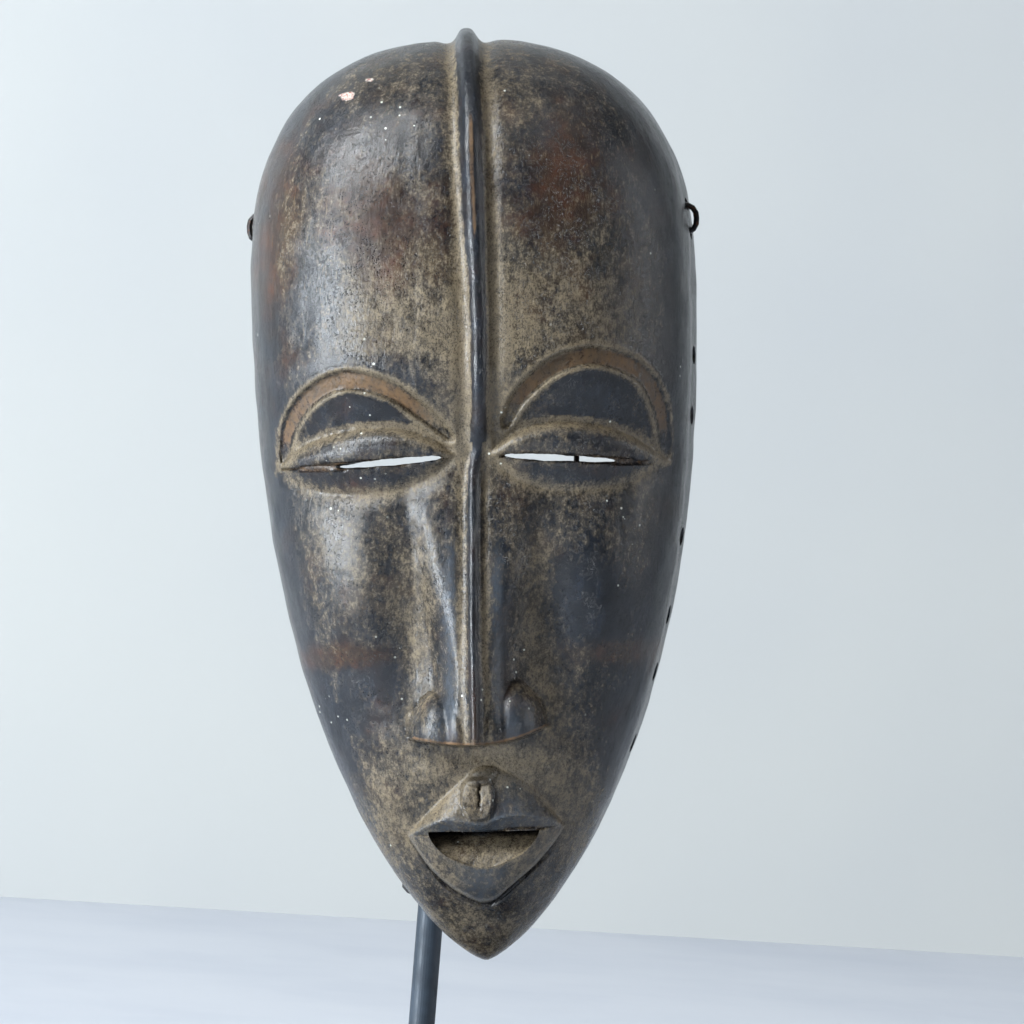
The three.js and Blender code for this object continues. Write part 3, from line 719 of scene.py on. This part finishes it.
def cut_away(piece, tools):
    """Subtracts closed tools from a piece, and removes the tools."""
    for tool in tools:
        modifier = piece.modifiers.new("cut", "BOOLEAN")
        modifier.operation = "DIFFERENCE"
        modifier.solver = "MANIFOLD"
        modifier.object = tool
    bpy.context.view_layer.update()
    result = bpy.data.meshes.new_from_object(piece.evaluated_get(bpy.context.evaluated_depsgraph_get()))
    piece.modifiers.clear()
    piece.data = result
    for tool in tools:
        bpy.data.objects.remove(tool)


def prism(name, outline, back, front):
    """A tool with an [x, z] outline listed anticlockwise as seen from the front, between two depths."""
    count = len(outline)
    near = [(x, -front, z) for x, z in outline]
    far = [(x, -back, z) for x, z in outline]
    sides = [[i, i + count, (i + 1) % count + count, (i + 1) % count] for i in range(count)]
    ends = [list(range(count)), list(range(2 * count - 1, count - 1, -1))]
    return mesh_object(name, near + far, ends + sides)


# ------------------------------------------------------------------ the mask

FRONT_COLUMNS = 190


def column_shares():
    """Places across the face from -1 to 1, closer together in the middle and at the steep sides."""
    t = np.linspace(-1, 1, FRONT_COLUMNS)
    return np.sin(np.pi / 2 * (0.72 * t + 0.28 * t**3))


def mask_rows():
    chin_share = np.linspace(0.01, 0.15, 11)
    crown_share = np.linspace(0.47, 0.004, 28)
    chin = WIDEST_Z * (1 - (1 - chin_share ** (1 / CHIN_ROOT)) ** (1 / CHIN_POWER))
    crown = (1 - crown_share ** (1 / CROWN_ROOT)) ** (1 / CROWN_POWER)
    crown = WIDEST_Z + (MASK_HEIGHT - WIDEST_Z) * crown
    middle = rows_between([
        (chin[-1] + 0.6, 14, 11), (14, 58, 98), (58, 66, 26), (66, 84, 32), (84, 128, 42),
        (128, 172, 78), (172, 236, 48), (236, crown[0] - 0.3, 14),
    ])
    return np.concatenate([chin, middle, crown])


def outer_form():
    z = mask_rows()[:, None]
    shares = column_shares()[None, :]
    x = SHIFT + half_width(z) * shares
    height = np.broadcast_to(z, x.shape)
    depth = dome_depth(x, height) + face_relief(x, height)
    front = np.stack([x, -depth, height], axis=-1)
    wall_depth = np.array([8.5, 6.5, 4.5, 2.6, 1.2, 0.35, 0.0])
    inset = np.array([0.0, 0.05, 0.1, 0.2, 0.35, 0.7, 1.3])

    def wall(side, lean):
        half = half_width(z)
        reach = half * (1 + lean * (1 - wall_depth / WIDEST_DEPTH)) - np.minimum(inset, half / 2)
        wall_x = SHIFT + side * reach
        return np.stack(
            [wall_x, np.broadcast_to(-wall_depth, wall_x.shape), np.broadcast_to(z, wall_x.shape)], axis=-1
        )

    right, left = wall(1, FLARE), wall(-1, -TUCK)[:, ::-1]
    rings = np.concatenate([front, right, left], axis=1)
    vertices, faces = loft(rings, (SHIFT, -5, -0.05), (SHIFT, -5, MASK_HEIGHT + 0.05))
    piece = mesh_object("mask_carving", vertices, faces)
    points, outward = positions(piece.data), normals(piece.data)
    u, v = seen_at(points[:, 0], points[:, 2], -points[:, 1])
    ridge = ridge_relief(u, v) * smoothstep(0.5, 4, -points[:, 1])
    set_positions(piece.data, points + outward * ridge[:, None])
    return piece


def hollow_tool():
    bottom, top = RIM_THICKNESS + 2, MASK_HEIGHT - RIM_THICKNESS - 0.5
    low = rows_between([(bottom + 0.05, bottom + 4, 8), (bottom + 4, 40, 16), (40, 225, 66)])
    high = rows_between([(225, top - 3, 18)])
    z = np.concatenate([low, high, np.linspace(top - 3, top - 0.02, 10)])[:, None]
    stretched = (z - bottom) / (top - bottom) * MASK_HEIGHT
    half = (HALF_WIDTH - RIM_THICKNESS) * end_taper(stretched, 2.5, 0.4, 2.3, 0.75)
    t = np.linspace(-1, 1, 61)
    shares = np.sin(np.pi / 2 * t)[None, :]
    x = HOLLOW_SHIFT + half * shares
    middle = (dome_height(z) + WIDEST_DEPTH - 9) * end_taper(stretched, 3, 0.5, 3, 0.45)
    depth = middle * np.sqrt(np.clip(1 - np.abs(shares) ** 2.2, 0, 1))
    front = np.stack([x, -depth, np.broadcast_to(z, x.shape)], axis=-1)
    behind = np.full(half.shape, 5.0)
    back = [np.stack([HOLLOW_SHIFT + side * half, behind, z], axis=-1) for side in (1, -1)]
    rings = np.concatenate([front, *back], axis=1)
    return mesh_object("hollow", *loft(rings, (HOLLOW_SHIFT, 2, bottom), (HOLLOW_SHIFT, 2, top)))


LID_DEPTH, LIP_DEPTH = 45, 36
SLIT_HALF_HEIGHT = 0.8
SLIT_BACK = 26  # well inside the hollow
IN_FRONT = 70  # clear of the nose


def slit_tool(line, pierced):
    """Opens the pierced part of a slit right through, with ragged edges."""
    x = np.linspace(*pierced, 60)
    z = np.interp(x, *line)
    share = np.abs(2 * np.linspace(0, 1, len(x)) - 1)
    open_by = SLIT_HALF_HEIGHT * (1 - share**5) ** 0.5 + 0.08
    ragged = 0.07 * np.sin(0.9 * x) + 0.04 * np.sin(3.1 * x + 1)
    lower = np.stack(set_back((x, z - open_by + 0.5 * ragged), LID_DEPTH), axis=-1)
    upper = np.stack(set_back((x, z + open_by + ragged), LID_DEPTH), axis=-1)
    return prism("slit", np.vstack([lower, upper[::-1]]).tolist(), SLIT_BACK, IN_FRONT)


def mouth_tool():
    """The mouth is blind: its floor slopes back and up from the lower lip."""
    edge_x, edge_z = MOUTH_BOTTOM
    lowest = edge_z.argmin()
    z = np.linspace(edge_z[lowest] + 0.03, 36.2, 30)
    from_x = np.interp(z, edge_z[: lowest + 1][::-1], edge_x[: lowest + 1][::-1], right=edge_x[0])
    to_x = np.interp(z, edge_z[lowest:], edge_x[lowest:], right=edge_x[-1])
    rise = (z - z[0]) / (z[-1] - z[0])
    floor = 36.8 - 3.0 * rise - 7.5 * rise**3
    across = np.linspace(0, 1, 31)
    x = from_x[:, None] + (to_x - from_x)[:, None] * across
    height = np.broadcast_to(z[:, None], x.shape)
    hollowed = floor[:, None] + 2.5 * np.abs(2 * across - 1) ** 6 * (1 - rise[:, None])
    x, height = set_back((x, height), LIP_DEPTH)
    back = np.stack([x, -hollowed, height], axis=-1)
    front = np.stack([x[:, [-1, 0]], np.full((len(z), 2), -IN_FRONT - 5.0), height[:, [-1, 0]]], axis=-1)
    rings = np.concatenate([front[:, ::-1], back[:, ::-1]], axis=1)
    first = (x.mean(), -58, height[0, 0] - 0.05)
    last = (x.mean(), -58, height[-1, 0] + 0.05)
    return mesh_object("mouth", *loft(rings, first, last))


TIE_HOLES = [(z, 2.6) for z in (169, 152, 118, 96, 80, 60)]
WIRE_HOLES = [(z, 1.9) for z in (203.5, 211.5)]
HOLE_DEPTH = 7.5


def hole_tool(side, z, radius):
    mesh = bpy.data.meshes.new("hole")
    shaper = bmesh.new()
    bmesh.ops.create_cone(shaper, cap_ends=True, segments=28, radius1=radius, radius2=radius, depth=24)
    bmesh.ops.rotate(shaper, verts=shaper.verts, matrix=Matrix.Rotation(math.pi / 2, 3, "Y"))
    across = SHIFT + side * (float(half_width(np.float64(z))) - RIM_THICKNESS / 2)
    bmesh.ops.translate(shaper, verts=shaper.verts, vec=(across, -HOLE_DEPTH, z))
    shaper.to_mesh(mesh)
    shaper.free()
    tool = bpy.data.objects.new("hole", mesh)
    bpy.context.collection.objects.link(tool)
    return tool


def to_world(points):
    """From the mask's own frame, as (x, -d, z) in mm, to where the mask hangs, in metres."""
    x, z = points[:, 0] - PIN_X, points[:, 2] - PIN_Z
    cos, sin = math.cos(LEAN), math.sin(LEAN)
    world = np.empty_like(points)
    world[:, 0] = HOOK.x + (x * cos + z * sin) * MM
    world[:, 1] = BACK_Y + points[:, 1] * MM
    world[:, 2] = HOOK.z + (z * cos - x * sin) * MM
    return world


def on_back(points, outward):
    """True on the rim's face and in the hollow. The left wall also turns a little to the back."""
    share = np.abs(points[:, 0] - SHIFT) / np.maximum(half_width(points[:, 2]), 1)
    return (outward[:, 1] > 0.75) | ((outward[:, 1] > 0.1) & (share < 0.92))


def spots(x, z, *ovals):
    """The sum of soft ovals, each an amount, its middle and spread across, and its middle and spread up."""
    return sum(amount * bell(x - cx, wide) * bell(z - cz, tall) for amount, cx, wide, cz, tall in ovals)


def ridge_dust(z, reach, half):
    """Dust in the valleys beside the ridge, and none on its crest."""
    dust = 0.42 * bell(reach - half - 2.2, 1.9) * smoothstep(128, 150, z)
    dust += 0.30 * bell(reach, 17) * smoothstep(212, 170, z) * smoothstep(125, 150, z)
    on_crest = (1 - smoothstep(half - 0.4, half + 0.5, reach)) * (z > 62)
    return dust - 0.9 * on_crest


def plain_dust(x, z):
    """Dust on the forehead, the cheeks and the chin, between the carved features."""
    side = np.abs(x)
    dust = 0.34 + 0.22 * bell(z - 182, 20) * smoothstep(58, 30, side) + 0.16 * smoothstep(17, 10, z)
    dust += spots(x, z, (0.16, 12, 12, 240, 14), (-0.28, 26, 14, 222, 20), (-0.30, -42, 9, 186, 16))
    dust += spots(x, z, (-0.22, -25, 13, 205, 12), (-0.26, -36, 10, 232, 13), (-0.22, 50, 7, 214, 18))
    dust += spots(x, z, (-0.42, 31, 13, 101, 13), (-0.34, -27, 9, 81, 9), (0.06, -34, 15, 114, 15))
    return dust + spots(side, z, (-0.24, 40, 9, 66, 22))


def on_wings(x, z):
    side = np.abs(x)
    return (z > nose_bottom(x)) * (z < 74) * (side > 7) * (side < 19)


def nose_dust(x, z, reach):
    dust = 0.34 * bell(np.abs(x) - 17, 5) * smoothstep(60, 75, z) * smoothstep(126, 108, z)
    dust += 0.34 * bell(reach - 3.4, 1.3) * (z > 60) * smoothstep(143, 130, z)
    dust -= 0.20 * bell(reach - 8, 3.0) * smoothstep(60, 70, z) * smoothstep(122, 108, z)
    dust += 0.36 * bell(z - 54, 9) * bell(x, 26) * (z < nose_bottom(x))
    return dust - 0.14 * on_wings(x, z)


def eye_dust(x, z):
    """Dust along the brows and the lids' creases, and dark lids and sockets."""
    dust = np.zeros(len(x))
    for brow, upper, lower in zip(BROWS, UPPER_CREASES, LOWER_CREASES):
        near_brow, along = nearest(x, z, brow)
        brow_half = brow_half_width(along)
        near_upper, _ = nearest(x, z, upper)
        near_lower, _ = nearest(x, z, lower)
        upper_z, lower_z = np.interp(x, *upper), np.interp(x, *lower)
        across = bell(x - np.mean(upper[0]), 19)
        dust += 0.48 * bell(near_brow - brow_half - 0.8, 0.8)
        dust += 0.40 * bell(near_upper, 1.9) + 0.36 * bell(near_lower, 2.0)
        above = (near_upper > 2) * (z > upper_z) * smoothstep(174, 166, z)
        dust -= 0.40 * above * across * (near_brow > brow_half + 1)
        dust -= 0.30 * bell(z - lower_z - 3.8, 2.4) * across
        dust -= 0.18 * bell(z - upper_z + 4.5, 2.2) * across
    return dust


def lip_dust_pale_and_highlights(x, z):
    """The lips' dust, and where they are pale blue-grey: partly worn, partly painted highlights on the lower lip's
    edge and band and along the upper lip's crest.
    """
    side = np.abs(x)
    top, crest, bottom = (np.interp(x, *line) for line in (LIP_TOP, LIP_CREST, LIP_BOTTOM))
    opening = mouth_edge(x)
    upper = (z > crest) * (z < top)
    lower = (z > bottom) * (z < opening) * (side < 22)
    inner = (z < crest - 0.3) * (z > crest - 3.4) * (z > opening) * (side < 22)
    # A pale line along the lower lip's edge: partly wear, partly a painted highlight.
    edge = bell(z - bottom - 0.5, 0.45) * (x > -21) * (x < 22.6)

    dust = 0.12 * upper * (x < 2) - 0.10 * upper * (x >= 2)
    dust += 0.40 * bell(z - top + 0.3, 1.5) * (side < 22)
    dust += 0.24 * lower * smoothstep(3, 9, side) + 0.55 * edge
    dust += 0.30 * (z > opening) * (z < 36) * (side < 16)
    dust += 0.26 * bell(z - 38, 15) * bell(side - 25, 10) * (1 - lower)

    # Pale blue-grey: partly wear, partly painted highlights on the lower lip, inside the upper lip and along its
    # crest.
    pale = 0.45 * lower * (0.15 + 0.75 * bell(x + 1, 7)) + 0.45 * inner + 0.45 * edge
    pale += 0.40 * bell(z - crest, 0.5) * (side < 21) + 0.35 * upper * bell(x - 9, 6)
    return dust, pale


def nose_highlights(x, z, reach):
    """Painted highlights on the nose's shoulders and wings."""
    pale = 0.30 * on_wings(x, z) * bell(z - 66, 5) * (np.abs(x) < 15)
    return pale + 0.50 * bell(reach - 6.6, 1.7) * smoothstep(64, 72, z) * smoothstep(124, 108, z)


def bare_wood(x, z, d):
    """Bare wood in the brow grooves, in the slits' ends, on the ridge and along the nose's lower edge."""
    bare = np.zeros(len(x))
    for line in BROWS:
        distance, along = nearest(x, z, line)
        brow_half = brow_half_width(along)
        strength = 0.52 * smoothstep(0.0, 0.12, along) * smoothstep(1.0, 0.8, along)
        bare = np.maximum(bare, strength * (1 - smoothstep(brow_half - 0.9, brow_half + 0.1, distance)))
    for line in SLITS:
        bare = np.maximum(bare, 0.45 * blind_slit(x, z, line) * (d > 30))
    edge = bell(z - nose_bottom(x) - 0.35, 0.55) * (np.abs(x) < 19.5) * (d > 36)
    crest_line = bell(x - ridge_centre(z), 0.6) * smoothstep(201, 207, z) * smoothstep(242, 236, z)
    return np.maximum(bare, np.maximum(0.68 * edge, 0.7 * crest_line))


def brown_wear(x, z, reach):
    brown = 0.30 + spots(x, z, (0.35, 27, 14, 218, 20), (0.30, -24, 20, 205, 26), (0.35, -55, 8, 205, 30))
    brown += spots(x, z, (-0.35, 31, 13, 101, 13), (-0.35, -42, 9, 186, 16))
    return brown + spots(np.abs(x), z, (0.6, 40, 12, 86, 3.5)) + 0.5 * bell(reach, 1.2) * bell(z - 66, 9)


def scratches(x, z):
    scratch = 0.5 * bell(x, 30) * smoothstep(20, 8, z) + spots(x, z, (0.8, 32, 16, 222, 20))
    return np.maximum(scratch, spots(np.abs(x), z, (0.55, 45, 12, 205, 35)))


def pink_chips(x, z):
    chip = 0.9 * np.sqrt(np.clip(1 - ((x + 34) / 3.0) ** 2 - ((z - 244) / 1.4) ** 2, 0, 1))
    return chip + 0.7 * np.sqrt(np.clip(1 - ((x + 27.5) / 2.0) ** 2 - ((z - 248) / 1.0) ** 2, 0, 1))


def deep_shade(x, z, d, dome):
    """Painted shade in the tab's crack and at the mouth's top, a painted shadow under the lower lip's edge, and a
    darker lump over the tab.
    """
    side = np.abs(x)
    crack = bell(crack_reach(x, z), 0.4) * (z > 42.5) * (z < 50.5)
    lump = np.clip(1.2 - ((x + 0.4) / 4.3) ** 2 - ((z - 51.6 - 0.25 * x) / 2.4) ** 2, 0, 1)
    in_mouth = (d < dome - 0.5) * (d > 20) * (side < 18) * (z > 20) * (z < 42)
    # Painted shade at the top of the mouth's recess.
    mouth_top = in_mouth * smoothstep(34.2, 35.8, z)
    # A painted shadow just under the lower lip's edge.
    under_lip = bell(z - np.interp(x, *LIP_BOTTOM) + 0.5, 0.45) * (x > -21) * (x < 22.6)
    return np.clip(np.maximum.reduce([0.9 * crack, 0.6 * lump, 0.85 * mouth_top, 0.7 * under_lip]), 0, 1)


def paint(mesh, points, outward):
    """Per-vertex amounts that the wood's material reads: where dust, bare wood and wear lie, and where highlights
    and shade are painted.
    """
    d = -points[:, 1]
    x, z = seen_at(points[:, 0], points[:, 2], d)
    share = np.abs(points[:, 0] - SHIFT) / np.maximum(half_width(points[:, 2]), 1)
    back = on_back(points, outward)
    reach = np.abs(x - ridge_centre(z))
    half = np.where(z > 146, 1.9 + 0.9 * smoothstep(146, 235, z), 1.1)

    # The lips' dust includes a painted highlight along the lower lip's edge.
    lip_dust, lip_pale_and_highlight = lip_dust_pale_and_highlights(x, z)
    dust = plain_dust(x, z) + ridge_dust(z, reach, half) + nose_dust(x, z, reach) + eye_dust(x, z) + lip_dust
    dust -= 0.35 * smoothstep(0.80, 0.95, share) * smoothstep(40, 80, z)

    amounts = {
        "dust": dust,
        # pale: wear and painted highlights on the lips and the nose.
        "pale": np.clip(lip_pale_and_highlight + nose_highlights(x, z, reach), 0, 1),
        "bare": bare_wood(x, z, d),
        "brown": brown_wear(x, z, reach),
        "scratch": scratches(x, z),
        "chip": pink_chips(x, z),
        "shade": deep_shade(x, z, d, dome_depth(points[:, 0], points[:, 2])),
    }
    for name, values in amounts.items():
        values = np.where(back, 0, values)
        mesh.attributes.new(name, "FLOAT", "POINT").data.foreach_set("value", values.astype(np.float32))
    mesh.attributes.new("inside", "FLOAT", "POINT").data.foreach_set("value", back.astype(np.float32))


def make_mask(material):
    piece = outer_form()
    tools = [hollow_tool(), mouth_tool()]
    tools += [slit_tool(line, pierced) for line, pierced in zip(SLITS, PIERCED)]
    tools += [hole_tool(side, z, radius) for side in (-1, 1) for z, radius in TIE_HOLES + WIRE_HOLES]
    cut_away(piece, tools)
    mesh = piece.data
    points, outward = positions(mesh), normals(mesh)
    paint(mesh, points, outward)
    gouges, waves = 0.9 * lattice_noise(points, 9, 3), 0.22 * lattice_noise(points, 7, 1)
    marks = np.where(on_back(points, outward), gouges, waves)
    grain = lattice_noise(points * np.array([1, 1, 0.12]), 1.6, 2)
    marks += 0.045 * grain + 0.05 * lattice_noise(points, 2.2, 4)
    keep_rim = smoothstep(0.0, 1.5, -points[:, 1])
    points = points + outward * (marks * keep_rim)[:, None]
    set_positions(mesh, to_world(points))
    mesh.materials.clear()
    mesh.materials.append(material)
    mesh.shade_smooth()
    mesh.set_sharp_from_angle(angle=math.radians(50))
    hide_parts("mask_shell")
    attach(piece, "mask")


# ------------------------------------------------------------------ the wire's wound ends


COIL_RADIUS = 0.00128  # to the wire's middle line, in metres
COIL_WIRE_RADIUS = 0.00055
COIL_TURNS = 8.5


def wind_wire(name, material):
    """Close turns of wire in place of a plain sleeve, between the same two ends."""
    sleeve = frame["nodes"][name]
    corners = np.array([sleeve.matrix_world @ v.co for v in sleeve.data.vertices])
    middle = corners.mean(axis=0)
    axis = np.linalg.svd(corners - middle, full_matrices=False)[2][0]
    half = np.abs((corners - middle) @ axis).max()
    sideways = np.cross(axis, (0, 1, 0))
    sideways /= np.linalg.norm(sideways)
    upwards = np.cross(axis, sideways)
    travel = half - COIL_WIRE_RADIUS - 0.2 * MM
    steps, sides = 220, 8
    turn = [2 * math.pi * k / sides for k in range(sides)]
    rings = []
    for t in np.linspace(0, 1, steps):
        angle = 2 * math.pi * COIL_TURNS * t
        outwards = math.cos(angle) * sideways + math.sin(angle) * upwards
        away = COIL_RADIUS * (1 + 0.08 * math.sin(5 * t))
        centre = middle + (2 * t - 1) * travel * axis + away * outwards
        rings.append([
            centre + COIL_WIRE_RADIUS * (math.cos(a) * outwards + math.sin(a) * axis) for a in turn
        ])
    rings = np.array(rings)
    coil = mesh_object(name + "_turns", *loft(rings, rings[0].mean(axis=0), rings[-1].mean(axis=0)))
    coil.data.materials.append(material)
    coil.data.shade_smooth()
    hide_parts(name)
    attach(coil, "mask")


# ------------------------------------------------------------------ stage


WALL_DISTANCE = 0.95
WALL_TURN = math.radians(15)


def wall_paint():
    """Pale, and clear from behind, so that the object shows from all round."""
    n = Nodes("pale_wall")
    tone = n.mix(n.between(n.noise(2.2, 3), 0.3, 0.75), linear("#c2c5c4"), linear("#b9bdc0"))
    material = n.finish(Base_Color=tone, Roughness=0.9)
    see_through = n.add("ShaderNodeMixShader")
    n.put(n.add("ShaderNodeNewGeometry").outputs["Backfacing"], see_through.inputs[0])
    n.put(n.shader.outputs[0], see_through.inputs[1])
    n.put(n.add("ShaderNodeBsdfTransparent").outputs[0], see_through.inputs[2])
    n.put(see_through.outputs[0], n.tree.nodes["Material Output"].inputs["Surface"])
    return material


def table_top():
    n = Nodes("pale_table")
    tone = n.mix(n.between(n.noise(6, 4), 0.35, 0.75), linear("#cbd0d9"), linear("#c1c7d2"))
    return n.finish(Base_Color=tone, Roughness=0.6)


def make_stage():
    floor = mesh_object("floor", [(-3, -3, 0), (3, -3, 0), (3, 3, 0), (-3, 3, 0)], [[0, 1, 2, 3]])
    wall = mesh_object("wall", [(-3, 0, 0), (3, 0, 0), (3, 0, 2.5), (-3, 0, 2.5)], [[0, 1, 2, 3]])
    wall.location = (0, WALL_DISTANCE, 0)
    wall.rotation_euler = (0, 0, WALL_TURN)
    floor.data.materials.append(table_top())
    wall.data.materials.append(wall_paint())


# ------------------------------------------------------------------ everything

make_camera()
make_lights()
make_stage()
make_mask(wood_material())

STEEL = painted_steel()
BARE = bare_steel()
IRON = iron_wire()
RUBBER = moulded("black_rubber", "#161616", "#222223", 0.6, 0.85)
KNOB = moulded("knob_plastic", "#17171a", "#202024", 0.4, 0.6)
NYLON = moulded("nylon", "#cfcabd", "#ded9cc", 0.35, 0.55)
FELT = felt_material()
SLOT_MATERIALS = {
    "black_steel": STEEL, "bare_steel": BARE, "iron_wire": IRON, "black_rubber": RUBBER,
    "knob_plastic": KNOB, "nylon": NYLON, "felt": FELT,
}
for subpart in frame["record"]["subparts"]:
    if subpart["material_slot"] in SLOT_MATERIALS:
        node = frame["nodes"][subpart["node"]]
        node.data.materials.clear()
        node.data.materials.append(SLOT_MATERIALS[subpart["material_slot"]])

for side_name in ("left", "right"):
    wind_wire("wire_wrap_" + side_name, IRON)
